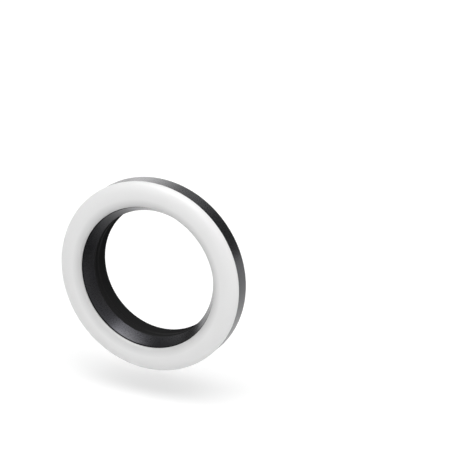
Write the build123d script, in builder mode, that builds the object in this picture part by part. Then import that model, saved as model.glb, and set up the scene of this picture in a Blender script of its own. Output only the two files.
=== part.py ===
from build123d import *
from math import atan2, cos, degrees, hypot, pi, radians, sin, sqrt
import os

os.makedirs("parts", exist_ok=True)

# The ring's axis is Y. Light shines towards -Y and the thread is on the +Y side, with +X on the
# right and +Z up as seen from the front. The origin is the centre of the plane that the
# adapter's flange seats with. Depths count backwards from the highest point of the front.
# Angles run from +X towards +Z. Everything is in millimetres and degrees.

# Driving dimensions: the bore and the light's outside
thread_radius = 33.5
thread_pitch = 0.75
thread_length = 3.5
thread_wall = 1.9
cone_flare = 3.45
cone_length = 6.2
band_width = 11.95
rim_inset = 0.2
crown_from_opening = 5.15
inner_edge_depth = 2.0
outer_edge_depth = 4.1
front_chamfer = 0.15
rear_chamfer = 0.35

# Driving dimensions: walls and the spaces between them
diffuser_wall = 1.4
outer_wall = 1.5
sleeve_wall = 1.3
web_thickness = 1.0
cover_thickness = 1.4
cover_ledge = 0.5
tongue_thickness = 0.8
inner_tongue_length = 1.0
led_board_setback = 0.4
battery_space = 4.4

# Driving dimensions: the threaded adapter behind the light
hub_wall = 1.0
flange_thickness = 1.1
flange_overhang = 0.4
turntable_thickness = 2.4
turntable_ledge = 1.0
turntable_wall = 0.55
magnet_radius = 1.8
magnet_thickness = 1.5
magnet_count = 16
nest_depth = 0.2
snap_thickness = 0.4
snap_width = 0.95
snap_gap_angle = 16
grip_count = 72
grip_radius = 0.45
grip_depth = 0.3
magnet_ring_edge = 0.25
keeper_thickness = 0.5
tape_thickness = 0.1

# Driving dimensions: electronics, battery and fasteners
led_board_thickness = 0.8
reflector_thickness = 0.2
led_length = 3.5
led_width = 2.8
led_height = 0.7
led_cup_radius = 1.1
led_cup_depth = 0.18
led_pitch = 4.16
control_board_thickness = 0.8
controller_side = 4.5
driver_side = 4.0
charger_side = 3.0
chip_height = 0.9
inductor_side = 4.2
inductor_height = 2.0
inductor_edge = 0.3
capacitor_length = 1.6
capacitor_width = 0.8
resistor_length = 1.0
resistor_width = 0.5
resistor_height = 0.35
level_led_length = 0.8
level_led_width = 1.6
level_led_height = 1.0
switch_width = 4.7
switch_depth = 2.8
switch_height = 1.6
switch_travel = 0.3
switch_edge = 0.25
plunger_radius = 0.7
plunger_proud = 0.9
plunger_inside = 0.6
cap_length = 7.6
cap_height = 3.0
cap_proud = 0.5
cap_flange = 0.4
cap_flange_thickness = 0.8
mark_depth = 0.15
mark_size = 1.6
mark_stroke = 0.32
mark_gap_angle = 80
socket_width = 8.94
socket_height = 3.2
socket_length = 7.3
socket_wall = 0.3
socket_tongue_width = 6.69
socket_tongue_thickness = 0.7
socket_inset = 0.4
socket_block = 1.2
socket_tongue_inset = 0.9
pipe_radius = 0.7
pipe_collar = 0.3
cell_length = 28
cell_tab_length = 2.6
cell_swell_space = 0.4
cell_edge = 0.7
cell_pad_thickness = 0.2
cell_board_thickness = 0.6
tab_width = 2.0
tab_spacing = 4.0
tab_thickness = 0.1
flex_thickness = 0.15
flex_width = 2.5
flex_lap_angle = 4
solder_radius = 0.6
solder_height = 0.15
screw_count = 6
screw_radius = 0.8
screw_socket_radius = 0.52
screw_head_radius = 1.45
screw_head_height = 0.75
screw_head_angle = 42
screw_length = 3.6
boss_radius = 1.7
board_screw_radius = 0.5
board_screw_head_radius = 1.15
board_screw_head_height = 0.45
board_screw_length = 2.6
pillar_radius = 1.3
pin_count = 3
pin_width = 0.5
pin_pitch = 1.5

# Places round the ring
power_angle = 180
minus_angle = 195
plus_angle = 210
socket_angle = 264
level_angles = [236, 240.5, 245, 249.5]
pillar_angles = [173.5, 219, 274.5]
pin_angle = 230
board_start_angle = 170
board_end_angle = 278
controller_angle = 188
driver_angle = 205
inductor_angle = 241
charger_angle = 249
capacitor_angles = [181, 196.5, 213, 234, 253.5, 255.5]
resistor_angles = [187, 188.5, 202, 203.5, 217, 218.5, 232, 233.5]
screw_start_angle = 45
cell_count = 4
cell_step_angle = 60
first_cell_angle = -45

# Clearances, a name for each kind of fit
glue_gap = 0.05
seam_gap = 0.2
running_gap = 0.05
nest_gap = 0.2
air_gap = 0.1
hub_gap = 0.2
board_gap = 0.5
slot_gap = 0.12
thread_gap = 0.03
corner_gap = 0.15
part_gap = 0.3

# Radii that follow
aperture_radius = thread_radius - thread_wall
opening_radius = aperture_radius + cone_flare
crown_radius = opening_radius + crown_from_opening
diffuser_radius = opening_radius + band_width
rim_radius = diffuser_radius - rim_inset
rim_inner = rim_radius - outer_wall
sleeve_back = aperture_radius + sleeve_wall
hub_radius = aperture_radius + hub_wall
turntable_inner = hub_radius + running_gap
snap_outer = hub_radius - snap_width / 2 + snap_width
counterbore_radius = snap_outer + air_gap
magnet_circle = counterbore_radius + turntable_wall + magnet_radius
turntable_radius = magnet_circle + magnet_radius + turntable_wall
recess_outer = turntable_radius + nest_gap
recess_inner = counterbore_radius - nest_gap
flange_radius = turntable_radius + flange_overhang

# Depths that follow
led_board_front = outer_edge_depth + led_board_setback
led_board_back = led_board_front + led_board_thickness
web_front = led_board_back + tape_thickness
web_back = web_front + web_thickness
cover_front = web_back + battery_space
light_back = cover_front + cover_thickness
turntable_front = light_back - nest_depth
keeper_back = turntable_front - air_gap
keeper_front = keeper_back - keeper_thickness
recess_floor = keeper_front - tape_thickness
turntable_back = turntable_front + turntable_thickness
flange_front = turntable_back + running_gap
shoulder_depth = flange_front + flange_thickness
control_back = cover_front - part_gap * 2
control_front = control_back - control_board_thickness
button_depth = control_front - switch_height / 2
socket_depth = control_back - socket_height / 2


def at(depth):
    """Y of a place this far behind the front's highest point."""
    return depth - shoulder_depth


def across(depth):
    """Plane across the ring at this depth, facing the front."""
    return Plane.XZ.offset(-at(depth))


def outward(angle, radius, depth):
    """Plane that faces away from the axis, with its x direction along the rim."""
    turn = radians(angle)
    away = Vector(cos(turn), 0, sin(turn))
    along = Vector(-sin(turn), 0, cos(turn))
    return Plane(origin=away * radius + Vector(0, at(depth), 0), x_dir=along, z_dir=away)


def sleeve_radius(depth):
    """Radius of the black cone and bore at this depth."""
    share = (depth - inner_edge_depth) / cone_length
    return opening_radius - cone_flare * min(max(share, 0), 1)


def front_depth(radius):
    """Depth of the crowned front at this radius."""
    if radius < crown_radius:
        share = (crown_radius - radius) / (crown_radius - opening_radius)
        return inner_edge_depth * (1 - sqrt(1 - share * share))
    share = (radius - crown_radius) / (diffuser_radius - crown_radius)
    return outer_edge_depth * (1 - sqrt(1 - share * share))


def section(*points):
    """Closed section from points of radius and depth, inside a sketch on the XY plane."""
    with BuildLine() as outline:
        Polyline(*[(radius, at(depth)) for radius, depth in points], close=True)
    make_face(outline.line)


def ring(inner, outer, front, back, mode=Mode.ADD):
    """Ring of rectangular section, turned about the axis."""
    with BuildSketch(Plane.XY) as band:
        with Locations(((inner + outer) / 2, at((front + back) / 2))):
            Rectangle(outer - inner, back - front)
    revolve(band.sketch, axis=Axis.Y, mode=mode)


def sector(inner, outer, start, end):
    """Sector of a flat ring, inside a sketch that lies across the axis."""
    with BuildLine() as outline:
        outside = CenterArc((0, 0), outer, start, end - start)
        inside = CenterArc((0, 0), inner, start, end - start)
        Line(outside @ 0, inside @ 0)
        Line(outside @ 1, inside @ 1)
    make_face(outline.line)


def keep_inside(radius):
    """Cut away all that lies further than this from the axis."""
    with BuildSketch(Plane.XZ.offset(shoulder_depth)) as disc:
        Circle(radius)
    extrude(disc.sketch, amount=-shoulder_depth, mode=Mode.INTERSECT)


def chip(angle, inner, length, width, height):
    """Flat box on the front of the control board, its length along the radius from this inner end."""
    with BuildSketch(across(control_front)) as outline:
        with PolarLocations(inner + length / 2, 1, start_angle=angle):
            Rectangle(length, width)
    extrude(outline.sketch, amount=height)


# Diffuser: crowned shell of opal plastic, with a tongue behind each edge to glue it in by
with BuildPart() as diffuser:
    with BuildSketch(Plane.XY):
        inner_centre = (crown_radius, at(inner_edge_depth))
        outer_centre = (crown_radius, at(outer_edge_depth))
        inner_reach = crown_radius - opening_radius
        outer_reach = diffuser_radius - crown_radius
        with BuildLine():
            inside = EllipticalCenterArc(inner_centre, inner_reach, inner_edge_depth, 180, arc_size=90)
            outside = EllipticalCenterArc(outer_centre, outer_reach, outer_edge_depth, 270, arc_size=90)
            back_outside = EllipticalCenterArc(
                outer_centre, outer_reach - diffuser_wall, outer_edge_depth - diffuser_wall, 270, arc_size=90
            )
            back_inside = EllipticalCenterArc(
                inner_centre, inner_reach - diffuser_wall, inner_edge_depth - diffuser_wall, 180, arc_size=90
            )
            Line(inside @ 0, back_inside @ 0)
            Line(outside @ 1, back_outside @ 1)
        make_face()
    revolve(axis=Axis.Y)
    inner_tongue = sleeve_radius(inner_edge_depth) + sleeve_wall + glue_gap
    inner_tongue_front = front_depth(inner_tongue) + diffuser_wall / 2
    inner_tongue_back = inner_edge_depth + inner_tongue_length
    ring(inner_tongue, inner_tongue + tongue_thickness, inner_tongue_front, inner_tongue_back)
    outer_tongue = rim_inner - glue_gap
    outer_tongue_front = front_depth(outer_tongue) + diffuser_wall / 2
    ring(outer_tongue - tongue_thickness, outer_tongue, outer_tongue_front, web_front - glue_gap)
diffuser.part.label = "diffuser"
export_step(diffuser.part, "parts/diffuser.step")

led_board_inner = sleeve_radius(led_board_front) + sleeve_wall + part_gap
led_board_outer = outer_tongue - tongue_thickness - part_gap
led_circle = (led_board_inner + led_board_outer) / 2
leds_per_colour = int(pi * led_circle / led_pitch)
led_step = 180 / leds_per_colour
boss_circle = rim_inner - boss_radius + part_gap
screw_hole_depth = screw_length - cover_thickness + part_gap
screw_hole_radius = screw_radius + thread_gap
pin_circle = led_board_inner + pin_width * 2
pin_slot_length = pin_pitch * pin_count + pin_width
pin_slot_width = pin_width * 3
pillar_circle = sleeve_back + board_gap + pillar_radius + part_gap
pillar_hole_radius = board_screw_radius + thread_gap
board_hole_radius = board_screw_radius + slot_gap
buttons = [("power", power_angle), ("minus", minus_angle), ("plus", plus_angle)]

# Housing: rim, cone and bore, and the web between them, with bosses for the rear screws
with BuildPart() as housing:
    with BuildSketch(Plane.XY):
        section(
            (sleeve_radius(inner_edge_depth + seam_gap), inner_edge_depth + seam_gap),
            (aperture_radius, inner_edge_depth + cone_length),
            (aperture_radius, light_back),
            (sleeve_back - cover_ledge, light_back),
            (sleeve_back - cover_ledge, cover_front),
            (sleeve_back, cover_front),
            (sleeve_back, inner_edge_depth + cone_length),
            (sleeve_radius(inner_edge_depth + seam_gap) + sleeve_wall, inner_edge_depth + seam_gap),
        )
        section(
            (rim_inner, outer_edge_depth + seam_gap),
            (rim_radius - front_chamfer, outer_edge_depth + seam_gap),
            (rim_radius, outer_edge_depth + seam_gap + front_chamfer),
            (rim_radius, light_back - rear_chamfer),
            (rim_radius - rear_chamfer, light_back),
            (rim_inner + cover_ledge, light_back),
            (rim_inner + cover_ledge, cover_front),
            (rim_inner, cover_front),
        )
        section(
            (sleeve_radius(web_front) + sleeve_wall / 2, web_front),
            (rim_inner + outer_wall / 2, web_front),
            (rim_inner + outer_wall / 2, web_back),
            (sleeve_radius(web_back) + sleeve_wall / 2, web_back),
        )
    revolve(axis=Axis.Y)
    with BuildSketch(across(cover_front)):
        with PolarLocations(boss_circle, screw_count, start_angle=screw_start_angle):
            Circle(boss_radius)
    extrude(amount=battery_space)
    with BuildSketch(across(control_front)):
        for angle in pillar_angles:
            with PolarLocations(pillar_circle, 1, start_angle=angle):
                Circle(pillar_radius)
    extrude(amount=control_front - web_back)
    with BuildSketch(across(cover_front)):
        with PolarLocations(boss_circle, screw_count, start_angle=screw_start_angle):
            Circle(screw_hole_radius)
    extrude(amount=screw_hole_depth, mode=Mode.SUBTRACT)
    with BuildSketch(across(control_front)):
        for angle in pillar_angles:
            with PolarLocations(pillar_circle, 1, start_angle=angle):
                Circle(pillar_hole_radius)
    extrude(amount=board_screw_length - control_board_thickness + part_gap, mode=Mode.SUBTRACT)
    with BuildSketch(across(web_back)):
        with PolarLocations(pin_circle, 1, start_angle=pin_angle):
            SlotOverall(pin_slot_length, pin_slot_width, rotation=90)
    extrude(amount=web_thickness, mode=Mode.SUBTRACT)
    for name, angle in buttons:
        with BuildSketch(outward(angle, rim_inner - boss_radius / 2, button_depth)):
            SlotOverall(cap_length + slot_gap * 2, cap_height + slot_gap * 2)
        extrude(amount=outer_wall + boss_radius, mode=Mode.SUBTRACT)
    with BuildSketch(outward(socket_angle, rim_inner - boss_radius / 2, socket_depth)):
        SlotOverall(socket_width + slot_gap * 2, socket_height + slot_gap * 2)
    extrude(amount=outer_wall + boss_radius, mode=Mode.SUBTRACT)
    for angle in level_angles:
        with BuildSketch(outward(angle, rim_inner - boss_radius / 2, socket_depth)):
            Circle(pipe_radius + glue_gap)
        extrude(amount=outer_wall + boss_radius, mode=Mode.SUBTRACT)
housing.part.label = "housing"
export_step(housing.part, "parts/housing.step")

# Rear cover: annular plate that lies on the housing's ledges, recessed for the keeper ring
with BuildPart() as rear_cover:
    ring(sleeve_back - cover_ledge + glue_gap, rim_inner + cover_ledge - glue_gap, cover_front, light_back)
    ring(recess_inner, recess_outer, recess_floor, light_back, Mode.SUBTRACT)
    with BuildSketch(across(light_back)):
        with PolarLocations(boss_circle, screw_count, start_angle=screw_start_angle):
            Circle(screw_radius + slot_gap)
    extrude(amount=cover_thickness, mode=Mode.SUBTRACT)
    with BuildSketch(across(light_back)):
        with PolarLocations(boss_circle, screw_count, start_angle=screw_start_angle):
            Circle(screw_head_radius + slot_gap)
    extrude(amount=screw_head_height + glue_gap, taper=screw_head_angle, mode=Mode.SUBTRACT)
rear_cover.part.label = "rear_cover"
export_step(rear_cover.part, "parts/rear_cover.step")

# Rear cover screws: countersunk, with a hexagon socket
with BuildPart() as rear_cover_screws:
    with BuildSketch(across(light_back - glue_gap)):
        with PolarLocations(boss_circle, screw_count, start_angle=screw_start_angle):
            Circle(screw_head_radius)
    extrude(amount=screw_head_height, taper=screw_head_angle)
    with BuildSketch(across(light_back - screw_head_height / 2)):
        with PolarLocations(boss_circle, screw_count, start_angle=screw_start_angle):
            Circle(screw_radius)
    extrude(amount=screw_length - screw_head_height / 2)
    with BuildSketch(across(light_back)):
        with PolarLocations(boss_circle, screw_count, start_angle=screw_start_angle):
            RegularPolygon(screw_socket_radius, 6)
    extrude(amount=screw_head_height, mode=Mode.SUBTRACT)
rear_cover_screws.part.label = "rear_cover_screws"
export_step(rear_cover_screws.part, "parts/rear_cover_screws.step")

# Keeper tape: adhesive ring on the floor of the rear cover's recess
with BuildPart() as keeper_tape:
    ring(recess_inner + nest_gap * 2, recess_outer - nest_gap * 2, recess_floor, keeper_front)
keeper_tape.part.label = "keeper_tape"
export_step(keeper_tape.part, "parts/keeper_tape.step")

# Keeper ring: steel washer that the magnets hold
with BuildPart() as keeper_ring:
    ring(recess_inner + glue_gap, recess_outer - glue_gap, keeper_front, keeper_back)
keeper_ring.part.label = "keeper_ring"
export_step(keeper_ring.part, "parts/keeper_ring.step")

# LED board: aluminium-cored ring with holes for the link pins
with BuildPart() as led_board:
    ring(led_board_inner, led_board_outer, led_board_front, led_board_back)
    with BuildSketch(across(led_board_back)):
        with PolarLocations(pin_circle, 1, start_angle=pin_angle):
            with GridLocations(0, pin_pitch, 1, pin_count):
                Circle(pin_width)
    extrude(amount=led_board_thickness, mode=Mode.SUBTRACT)
led_board.part.label = "led_board"
export_step(led_board.part, "parts/led_board.step")

# Thermal tape: bonds the LED board to the web, which spreads its heat
with BuildPart() as thermal_tape:
    tape_inner = sleeve_radius(led_board_back) + sleeve_wall + part_gap
    ring(tape_inner, led_board_outer - part_gap, led_board_back, web_front)
    with BuildSketch(across(web_front)):
        with PolarLocations(pin_circle, 1, start_angle=pin_angle):
            SlotOverall(pin_slot_length, pin_slot_width, rotation=90)
    extrude(amount=tape_thickness, mode=Mode.SUBTRACT)
thermal_tape.part.label = "thermal_tape"
export_step(thermal_tape.part, "parts/thermal_tape.step")

# Warm LEDs: every second chip round the board, each with the cup of its phosphor
with BuildPart() as warm_leds:
    with BuildSketch(across(led_board_front)):
        with PolarLocations(led_circle, leds_per_colour):
            Rectangle(led_length, led_width)
    extrude(amount=led_height)
    with BuildSketch(across(led_board_front - led_height)):
        with PolarLocations(led_circle, leds_per_colour):
            Circle(led_cup_radius)
    extrude(amount=-led_cup_depth, mode=Mode.SUBTRACT)
warm_leds.part.label = "warm_leds"
export_step(warm_leds.part, "parts/warm_leds.step")

# Cool LEDs: the chips between them
with BuildPart() as cool_leds:
    with BuildSketch(across(led_board_front)):
        with PolarLocations(led_circle, leds_per_colour, start_angle=led_step):
            Rectangle(led_length, led_width)
    extrude(amount=led_height)
    with BuildSketch(across(led_board_front - led_height)):
        with PolarLocations(led_circle, leds_per_colour, start_angle=led_step):
            Circle(led_cup_radius)
    extrude(amount=-led_cup_depth, mode=Mode.SUBTRACT)
cool_leds.part.label = "cool_leds"
export_step(cool_leds.part, "parts/cool_leds.step")

# Reflector sheet: white film on the LED board with a window for each chip
window_length = led_length + part_gap
window_width = led_width + part_gap
with BuildPart() as reflector_sheet:
    ring(led_board_inner + board_gap, led_board_outer, led_board_front - reflector_thickness, led_board_front)
    with BuildSketch(across(led_board_front)):
        with PolarLocations(led_circle, leds_per_colour * 2):
            Rectangle(window_length, window_width)
        with PolarLocations(pin_circle, 1, start_angle=pin_angle):
            SlotOverall(pin_slot_length, pin_slot_width, rotation=90)
    extrude(amount=reflector_thickness, mode=Mode.SUBTRACT)
reflector_sheet.part.label = "reflector_sheet"
export_step(reflector_sheet.part, "parts/reflector_sheet.step")

# Link pins: three square pins through both boards and the slot in the web
with BuildPart() as link_pins:
    with BuildSketch(across(control_back + part_gap / 2)):
        with PolarLocations(pin_circle, 1, start_angle=pin_angle):
            with GridLocations(0, pin_pitch, 1, pin_count):
                Rectangle(pin_width, pin_width)
    extrude(amount=control_back - led_board_front + part_gap)
link_pins.part.label = "link_pins"
export_step(link_pins.part, "parts/link_pins.step")

# Control board: arc beside the cells, notched for a boss and for the socket
control_inner = sleeve_back + board_gap
control_outer = rim_inner - cap_flange_thickness - switch_travel - board_gap
socket_mouth = rim_radius - socket_inset
with BuildPart() as control_board:
    with BuildSketch(across(control_back)):
        sector(control_inner, control_outer, board_start_angle, board_end_angle)
        with PolarLocations(boss_circle, screw_count, start_angle=screw_start_angle):
            Circle(boss_radius + board_gap, mode=Mode.SUBTRACT)
        with PolarLocations(socket_mouth - socket_length / 2, 1, start_angle=socket_angle):
            Rectangle(socket_length + part_gap, socket_width + part_gap, mode=Mode.SUBTRACT)
        for angle in pillar_angles:
            with PolarLocations(pillar_circle, 1, start_angle=angle):
                Circle(board_hole_radius, mode=Mode.SUBTRACT)
        with PolarLocations(pin_circle, 1, start_angle=pin_angle):
            with GridLocations(0, pin_pitch, 1, pin_count):
                Circle(pin_width, mode=Mode.SUBTRACT)
    extrude(amount=control_board_thickness)
control_board.part.label = "control_board"
export_step(control_board.part, "parts/control_board.step")

# Control board screws: pan heads, one into each pillar
with BuildPart() as control_board_screws:
    with BuildSketch(across(control_back)):
        for angle in pillar_angles:
            with PolarLocations(pillar_circle, 1, start_angle=angle):
                Circle(board_screw_radius)
    extrude(amount=board_screw_length)
    with BuildSketch(across(control_back)):
        for angle in pillar_angles:
            with PolarLocations(pillar_circle, 1, start_angle=angle):
                Circle(board_screw_head_radius)
    extrude(amount=-board_screw_head_height)
control_board_screws.part.label = "control_board_screws"
export_step(control_board_screws.part, "parts/control_board_screws.step")

chip_inner = control_inner + part_gap

# Controller, driver and charger: the three chips on the control board
with BuildPart() as controller_chip:
    chip(controller_angle, chip_inner, controller_side, controller_side, chip_height)
controller_chip.part.label = "controller_chip"
export_step(controller_chip.part, "parts/controller_chip.step")

with BuildPart() as driver_chip:
    chip(driver_angle, chip_inner, driver_side, driver_side, chip_height)
driver_chip.part.label = "driver_chip"
export_step(driver_chip.part, "parts/driver_chip.step")

with BuildPart() as charger_chip:
    chip(charger_angle, chip_inner, charger_side, charger_side, chip_height)
charger_chip.part.label = "charger_chip"
export_step(charger_chip.part, "parts/charger_chip.step")

# Inductor: moulded block of the step-up converter
with BuildPart() as inductor:
    chip(inductor_angle, chip_inner, inductor_side, inductor_side, inductor_height)
    chamfer(inductor.edges().group_by(Axis.Y)[0], inductor_edge)
inductor.part.label = "inductor"
export_step(inductor.part, "parts/inductor.step")

# Capacitors: six ceramic chips beside the others
with BuildPart() as capacitors:
    for angle in capacitor_angles:
        chip(angle, chip_inner, capacitor_length, capacitor_width, capacitor_width)
capacitors.part.label = "capacitors"
export_step(capacitors.part, "parts/capacitors.step")

# Resistors: small chips along the board's outer side, between the switches
resistor_inner = control_outer - resistor_length - part_gap
with BuildPart() as resistors:
    for angle in resistor_angles:
        chip(angle, resistor_inner, resistor_length, resistor_width, resistor_height)
resistors.part.label = "resistors"
export_step(resistors.part, "parts/resistors.step")

# USB-C socket shell: drawn steel sleeve, open at the rim and closed behind
with BuildPart() as usb_socket_shell:
    with BuildSketch(outward(socket_angle, socket_mouth, socket_depth)):
        SlotOverall(socket_width, socket_height)
    extrude(amount=-socket_length)
    with BuildSketch(outward(socket_angle, socket_mouth, socket_depth)):
        SlotOverall(socket_width - socket_wall * 2, socket_height - socket_wall * 2)
    extrude(amount=socket_wall - socket_length, mode=Mode.SUBTRACT)
usb_socket_shell.part.label = "usb_socket_shell"
export_step(usb_socket_shell.part, "parts/usb_socket_shell.step")

# USB-C socket tongue: moulded plate with its contacts, on a block at the back of the shell
with BuildPart() as usb_socket_tongue:
    with BuildSketch(outward(socket_angle, socket_mouth - socket_length + socket_wall, socket_depth)):
        SlotOverall(
            socket_width - (socket_wall + glue_gap) * 2, socket_height - (socket_wall + glue_gap) * 2
        )
    extrude(amount=socket_block)
    with BuildSketch(outward(socket_angle, socket_mouth - socket_length + socket_wall, socket_depth)):
        Rectangle(socket_tongue_width, socket_tongue_thickness)
    extrude(amount=socket_length - socket_wall - socket_tongue_inset)
usb_socket_tongue.part.label = "usb_socket_tongue"
export_step(usb_socket_tongue.part, "parts/usb_socket_tongue.step")

cap_back = rim_inner - running_gap - cap_flange_thickness
switch_face = cap_back - glue_gap - plunger_proud

# Side-push switches: one behind each button, with a bore for its plunger
for name, angle in buttons:
    with BuildPart() as switch:
        with BuildSketch(outward(angle, switch_face, button_depth)):
            Rectangle(switch_width, switch_height)
        extrude(amount=-switch_depth)
        chamfer(switch.edges().group_by(Axis.Y)[0], switch_edge)
        with BuildSketch(outward(angle, switch_face, button_depth)):
            Circle(plunger_radius + running_gap)
        extrude(amount=-(plunger_inside + switch_travel + air_gap), mode=Mode.SUBTRACT)
    switch.part.label = f"{name}_switch"
    export_step(switch.part, f"parts/{name}_switch.step")

# Switch plungers: the pins that the caps press, each sliding in its switch
for name, angle in buttons:
    with BuildPart() as plunger:
        with BuildSketch(outward(angle, cap_back - glue_gap, button_depth)):
            Circle(plunger_radius)
        extrude(amount=-(plunger_proud + plunger_inside))
    plunger.part.label = f"{name}_plunger"
    export_step(plunger.part, f"parts/{name}_plunger.step")


def button_mark(name, angle):
    """Sunken mark in a cap's face: a bar for minus, a cross for plus, an open ring for power."""
    with BuildSketch(outward(angle, rim_radius + cap_proud - mark_depth, button_depth)) as mark:
        if name == "power":
            with BuildLine() as ring_line:
                CenterArc((0, 0), mark_size / 2, 90 + mark_gap_angle / 2, 360 - mark_gap_angle)
            offset(ring_line.line, amount=mark_stroke / 2)
            with Locations((0, mark_size / 4)):
                Rectangle(mark_stroke, mark_size / 2)
        else:
            Rectangle(mark_size, mark_stroke)
        if name == "plus":
            Rectangle(mark_stroke, mark_size)
    extrude(mark.sketch, amount=cap_proud, mode=Mode.SUBTRACT)


# Button caps: a flange inside the rim keeps each cap in its slot, and its face follows the rim
for name, angle in buttons:
    with BuildPart() as cap:
        with BuildSketch(outward(angle, cap_back, button_depth)):
            SlotOverall(cap_length + cap_flange * 2, cap_height + cap_flange * 2)
        extrude(amount=cap_flange_thickness)
        keep_inside(rim_inner - running_gap)
        with BuildSketch(outward(angle, cap_back, button_depth)):
            SlotOverall(cap_length, cap_height)
        extrude(amount=cap_flange_thickness + outer_wall + cap_proud * 2)
        keep_inside(rim_radius + cap_proud)
        button_mark(name, angle)
    cap.part.label = f"{name}_button"
    export_step(cap.part, f"parts/{name}_button.step")

# Charge level LEDs: side-view chips at the edge of the control board
level_led_inner = control_outer - level_led_length
with BuildPart() as level_leds:
    for angle in level_angles:
        chip(angle, level_led_inner, level_led_length, level_led_width, level_led_height)
level_leds.part.label = "level_leds"
export_step(level_leds.part, "parts/level_leds.step")

# Charge level light pipes: clear pins through the rim, each with a collar against its inside
with BuildPart() as level_light_pipes:
    for angle in level_angles:
        with BuildSketch(outward(angle, control_outer + glue_gap, socket_depth)):
            Circle(pipe_radius)
        extrude(amount=rim_radius + part_gap - control_outer)
    keep_inside(rim_radius)
    for angle in level_angles:
        with BuildSketch(outward(angle, rim_inner - air_gap, socket_depth)):
            Circle(pipe_radius + pipe_collar)
        extrude(amount=-pipe_collar * 2)
level_light_pipes.part.label = "level_light_pipes"
export_step(level_light_pipes.part, "parts/level_light_pipes.step")

# Battery cells: flat pouches in the arc that the control board leaves free
cell_inner = sleeve_radius(web_back) + sleeve_wall + nest_gap
cell_outer = sqrt((rim_inner - corner_gap) ** 2 - (cell_length / 2) ** 2)
cell_width = cell_outer - cell_inner
cell_front = web_back + cell_pad_thickness
cell_back = cover_front - cell_swell_space
cell_thickness = cell_back - cell_front
pouch_length = cell_length - cell_tab_length
cell_angles = [first_cell_angle + cell_step_angle * number for number in range(cell_count)]
for number, angle in enumerate(cell_angles, 1):
    with BuildPart() as cell:
        seat = outward(angle, cell_inner, (cell_front + cell_back) / 2)
        with BuildSketch(seat):
            with Locations((-cell_tab_length / 2, 0)):
                Rectangle(pouch_length, cell_thickness)
        extrude(amount=cell_width)
        fillet(cell.edges().filter_by(Axis(seat.origin, seat.x_dir)), cell_edge)
    cell.part.label = f"battery_cell_{number}"
    export_step(cell.part, f"parts/battery_cell_{number}.step")

# Cell pads: double-sided foam between each cell and the web
with BuildPart() as cell_pads:
    for angle in cell_angles:
        with BuildSketch(outward(angle, cell_inner + board_gap * 2, web_back + cell_pad_thickness / 2)):
            with Locations((-cell_tab_length / 2, 0)):
                Rectangle(pouch_length - board_gap * 4, cell_pad_thickness)
        extrude(amount=cell_width - board_gap * 4)
cell_pads.part.label = "cell_pads"
export_step(cell_pads.part, "parts/cell_pads.step")

# Cell protection boards: a small board across the tabs of each cell
tab_middle = (cell_length - cell_tab_length) / 2 + part_gap / 2
flex_front = cover_front - flex_thickness - nest_gap
cell_board_back = flex_front - solder_height
with BuildPart() as cell_boards:
    for angle in cell_angles:
        seat = outward(angle, cell_inner + board_gap, cell_board_back - cell_board_thickness / 2)
        with BuildSketch(seat):
            with Locations((tab_middle, 0)):
                Rectangle(cell_tab_length - part_gap * 2, cell_board_thickness)
        extrude(amount=cell_width - board_gap * 2)
cell_boards.part.label = "cell_boards"
export_step(cell_boards.part, "parts/cell_boards.step")

# Cell tabs: the nickel strips that stand out of each pouch under its protection board
tab_depth = cell_board_back - cell_board_thickness - tab_thickness / 2
with BuildPart() as cell_tabs:
    for angle in cell_angles:
        for side in (-1, 1):
            tab_radius = (cell_inner + cell_outer + tab_spacing * side - tab_width) / 2
            with BuildSketch(outward(angle, tab_radius, tab_depth)):
                with Locations((tab_middle - part_gap / 2, 0)):
                    Rectangle(cell_tab_length - part_gap, tab_thickness)
            extrude(amount=tab_width)
cell_tabs.part.label = "cell_tabs"
export_step(cell_tabs.part, "parts/cell_tabs.step")

# Battery flex: flat circuit behind the cells, from the first cell to the control board
flex_circle = hypot((cell_inner + cell_outer) / 2, tab_middle)
joint_offset = degrees(atan2(tab_middle, (cell_inner + cell_outer) / 2))
with BuildPart() as battery_flex:
    with BuildSketch(across(flex_front + flex_thickness)):
        sector(
            flex_circle - flex_width / 2,
            flex_circle + flex_width / 2,
            first_cell_angle + joint_offset - flex_lap_angle,
            board_start_angle + flex_lap_angle,
        )
    extrude(amount=flex_thickness)
battery_flex.part.label = "battery_flex"
export_step(battery_flex.part, "parts/battery_flex.step")

# Solder joints: one on each protection board, and one where the flex ends on the control board
with BuildPart() as solder_joints:
    with BuildSketch(across(flex_front)):
        for angle in cell_angles:
            with PolarLocations(flex_circle, 1, start_angle=angle + joint_offset):
                Circle(solder_radius)
    extrude(amount=solder_height)
    with BuildSketch(across(flex_front)):
        with PolarLocations(flex_circle, 1, start_angle=board_start_angle + flex_lap_angle / 2):
            Circle(solder_radius)
    extrude(amount=flex_front - control_back)
solder_joints.part.label = "solder_joints"
export_step(solder_joints.part, "parts/solder_joints.step")

hub_front = light_back + hub_gap
ledge_front = turntable_back - turntable_ledge
snap_back = ledge_front - running_gap
snap_front = snap_back - snap_thickness
snap_inner = snap_outer - snap_width
thread_chamfer = thread_pitch / 2

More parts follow.
